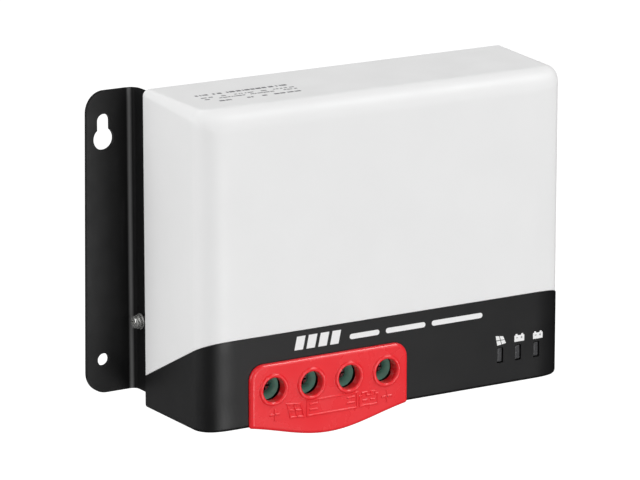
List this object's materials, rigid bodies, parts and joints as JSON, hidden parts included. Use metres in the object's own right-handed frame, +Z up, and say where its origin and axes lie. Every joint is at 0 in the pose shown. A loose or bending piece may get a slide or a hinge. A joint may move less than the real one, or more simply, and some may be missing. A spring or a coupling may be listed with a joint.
{
  "type": "charge controller",
  "caption": "Wall-mounted solar charge controller with a white cover, black lower shell, red terminal cover and a folded black mounting plate.",
  "frame": {"origin": "on the back face of the mounting flange, halfway up it, in the plane of the wall", "axes": "+Z up the wall, +Y into the wall, +X along the wall from the flange towards the body; the front faces -Y"},
  "size_m": [0.2193, 0.0711, 0.1568],
  "materials": {
    "black_painted_steel": "satin powder coat",
    "aluminium_extrusion": "plain extruded",
    "white_shell_plastic": "smooth satin",
    "black_shell_plastic": "smooth satin",
    "red_cover_plastic": "soft sheen",
    "green_terminal_plastic": "moulded",
    "zinc_plated_steel": "bright zinc plate",
    "tinned_brass": "tinned",
    "green_board": "solder mask on glass laminate",
    "inductor_ferrite": "painted powder core",
    "enamelled_wire": "enamelled copper",
    "capacitor_sleeve": "shrink sleeve",
    "moulded_resin": "moulded epoxy",
    "thermal_pad_grey": "silicone pad",
    "fuse_plastic": "moulded",
    "smoked_lens": "smoked acrylic",
    "led_resin": "diffuse resin",
    "ribbon_grey": "flat cable insulation"
  },
  "bodies": {
    "chassis": {"mounting_plate": "black_painted_steel", "heat_sink": "aluminium_extrusion", "upper_cover": "white_shell_plastic", "lower_shell": "black_shell_plastic", "terminal_cover": "red_cover_plastic", "terminal_block_1": "green_terminal_plastic", "terminal_block_2": "green_terminal_plastic", "terminal_block_3": "green_terminal_plastic", "terminal_block_4": "green_terminal_plastic", "ground_screw": "zinc_plated_steel", "circuit_board": "green_board", "inductor_core": "inductor_ferrite", "inductor_winding": "enamelled_wire", "thermal_pad": "thermal_pad_grey", "battery_fuse": "fuse_plastic", "indicator_board": "green_board", "ribbon_cable": "ribbon_grey", "standoff_1": "zinc_plated_steel", "board_screw_1": "zinc_plated_steel", "power_transistor_1": "moulded_resin", "contact_bar_1": "tinned_brass", "cover_screw_1": "zinc_plated_steel", "standoff_2": "zinc_plated_steel", "board_screw_2": "zinc_plated_steel", "power_transistor_2": "moulded_resin", "contact_bar_2": "tinned_brass", "cover_screw_2": "zinc_plated_steel", "standoff_3": "zinc_plated_steel", "board_screw_3": "zinc_plated_steel", "power_transistor_3": "moulded_resin", "contact_bar_3": "tinned_brass", "cover_screw_3": "zinc_plated_steel", "standoff_4": "zinc_plated_steel", "board_screw_4": "zinc_plated_steel", "power_transistor_4": "moulded_resin", "contact_bar_4": "tinned_brass", "cover_screw_4": "zinc_plated_steel", "capacitor_1": "capacitor_sleeve", "status_led_1": "led_resin", "light_pipe_1": "smoked_lens", "capacitor_2": "capacitor_sleeve", "status_led_2": "led_resin", "light_pipe_2": "smoked_lens", "capacitor_3": "capacitor_sleeve", "status_led_3": "led_resin", "light_pipe_3": "smoked_lens", "heat_sink_screw_1": "zinc_plated_steel", "heat_sink_screw_2": "zinc_plated_steel", "ground_lock_washer": "zinc_plated_steel", "ground_washer": "zinc_plated_steel", "ground_nut": "zinc_plated_steel"},
    "clamp_screw_1": {"terminal_screw_1": "zinc_plated_steel"},
    "clamp_1": {"clamp_cage_1": "zinc_plated_steel"},
    "clamp_screw_2": {"terminal_screw_2": "zinc_plated_steel"},
    "clamp_2": {"clamp_cage_2": "zinc_plated_steel"},
    "clamp_screw_3": {"terminal_screw_3": "zinc_plated_steel"},
    "clamp_3": {"clamp_cage_3": "zinc_plated_steel"},
    "clamp_screw_4": {"terminal_screw_4": "zinc_plated_steel"},
    "clamp_4": {"clamp_cage_4": "zinc_plated_steel"}
  },
  "joints": [
    {"name": "screw_turn_1", "type": "hinge", "parent": "chassis", "child": "clamp_screw_1", "pos_m": [0.04805, -0.0575, -0.0604], "axis": [0, 1, 0], "range_deg": [0, 2165]},
    {"name": "clamp_slide_1", "type": "slide", "parent": "chassis", "child": "clamp_1", "axis": [0, -1, 0], "range_m": [0, 0.006]},
    {"name": "screw_turn_2", "type": "hinge", "parent": "chassis", "child": "clamp_screw_2", "pos_m": [0.06805, -0.0575, -0.0604], "axis": [0, 1, 0], "range_deg": [0, 2165]},
    {"name": "clamp_slide_2", "type": "slide", "parent": "chassis", "child": "clamp_2", "axis": [0, -1, 0], "range_m": [0, 0.006]},
    {"name": "screw_turn_3", "type": "hinge", "parent": "chassis", "child": "clamp_screw_3", "pos_m": [0.08805, -0.0575, -0.0604], "axis": [0, 1, 0], "range_deg": [0, 2165]},
    {"name": "clamp_slide_3", "type": "slide", "parent": "chassis", "child": "clamp_3", "axis": [0, -1, 0], "range_m": [0, 0.006]},
    {"name": "screw_turn_4", "type": "hinge", "parent": "chassis", "child": "clamp_screw_4", "pos_m": [0.10805, -0.0575, -0.0604], "axis": [0, 1, 0], "range_deg": [0, 2165]},
    {"name": "clamp_slide_4", "type": "slide", "parent": "chassis", "child": "clamp_4", "axis": [0, -1, 0], "range_m": [0, 0.006]}
  ],
  "couplings": [
    {"joint": "screw_turn_1", "follows": "clamp_slide_1", "rad_per_m": 6283.2},
    {"joint": "screw_turn_2", "follows": "clamp_slide_2", "rad_per_m": 6283.2},
    {"joint": "screw_turn_3", "follows": "clamp_slide_3", "rad_per_m": 6283.2},
    {"joint": "screw_turn_4", "follows": "clamp_slide_4", "rad_per_m": 6283.2}
  ]
}
